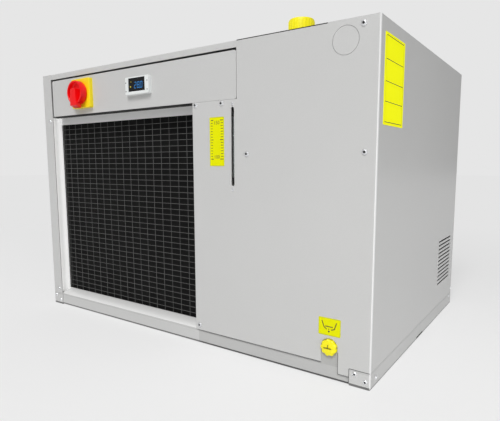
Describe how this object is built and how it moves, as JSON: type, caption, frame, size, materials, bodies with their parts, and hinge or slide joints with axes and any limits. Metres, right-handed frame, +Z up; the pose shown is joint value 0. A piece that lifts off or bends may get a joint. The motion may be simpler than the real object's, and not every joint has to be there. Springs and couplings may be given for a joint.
{
  "type": "water chiller",
  "caption": "Compact air-cooled water chiller in a folded sheet-metal cabinet, with a wire-guarded condenser bay, turning main switch, level gauge slot and screw caps.",
  "frame": {"origin": "on the floor, under the centre of the box round the whole chiller, handle and water ports included", "axes": "+X along the front to the right, +Y from the front to the back, +Z up"},
  "size_m": [0.85, 0.632, 0.5986],
  "materials": {
    "skin_paint": "light grey powder coat",
    "rail_paint": "light grey powder coat",
    "bay_steel": "light grey sheet steel",
    "guard_wire": "grey coated wire",
    "fins": "black coated fins",
    "zinc_steel": "zinc plated",
    "black_plastic": "moulded",
    "white_plastic": "moulded",
    "display_window": "dark window",
    "yellow_plastic": "moulded",
    "red_plastic": "moulded",
    "tank_plastic": "natural moulded plastic",
    "clear_tube": "clear tube",
    "rubber_seal": "black rubber",
    "brass_fitting": "nickel or plain brass"
  },
  "bodies": {
    "cabinet": {"back_panel": "skin_paint", "back_rail": "rail_paint", "bay_header": "bay_steel", "bottom_bar": "bay_steel", "cable_gland": "black_plastic", "condenser_end_plate_left": "fins", "condenser_end_plate_right": "fins", "condenser_fins": "fins", "control_panel": "skin_paint", "controller_bezel": "white_plastic", "controller_display": "display_window", "drain_spout": "black_plastic", "electrics_shelf": "bay_steel", "fan_guard_feet": "guard_wire", "fan_guard_rings": "guard_wire", "fan_guard_spokes": "guard_wire", "fan_motor": "black_plastic", "fan_ring": "rail_paint", "fan_rotor": "black_plastic", "filler_neck": "tank_plastic", "filler_seal": "rubber_seal", "floor_plate": "zinc_steel", "front_rail": "rail_paint", "gauge_blank": "skin_paint", "guard_cross_wires": "guard_wire", "guard_upright_wires": "guard_wire", "left_rail": "rail_paint", "left_side_panel": "skin_paint", "left_stile": "bay_steel", "level_elbow_lower": "black_plastic", "level_elbow_upper": "black_plastic", "level_tube": "clear_tube", "partition": "bay_steel", "right_rail": "rail_paint", "switch_body": "black_plastic", "switch_plate": "yellow_plastic", "top_cover": "skin_paint", "water_inlet": "brass_fitting", "water_inlet_nut": "brass_fitting", "water_outlet": "brass_fitting", "water_outlet_nut": "brass_fitting", "water_tank": "tank_plastic", "wrap_cover": "skin_paint"},
    "switch_handle": {"switch_handle": "red_plastic", "switch_spindle": "zinc_steel"},
    "filler_cap": {"filler_cap": "yellow_plastic"},
    "drain_cap": {"drain_cap": "yellow_plastic"}
  },
  "joints": [
    {"name": "main_switch_turn", "type": "hinge", "parent": "cabinet", "child": "switch_handle", "pos_m": [-0.2647, -0.2955, 0.515], "axis": [0, -1, 0], "range_deg": [0, 90]},
    {"name": "filler_cap_turn", "type": "hinge", "parent": "cabinet", "child": "filler_cap", "pos_m": [0.2673, -0.233, 0.573], "axis": [0, 0, 1], "range_deg": [0, 270]},
    {"name": "drain_cap_turn", "type": "hinge", "parent": "cabinet", "child": "drain_cap", "pos_m": [0.3545, -0.291, 0.056], "axis": [0, -1, 0], "range_deg": [0, 270]}
  ]
}
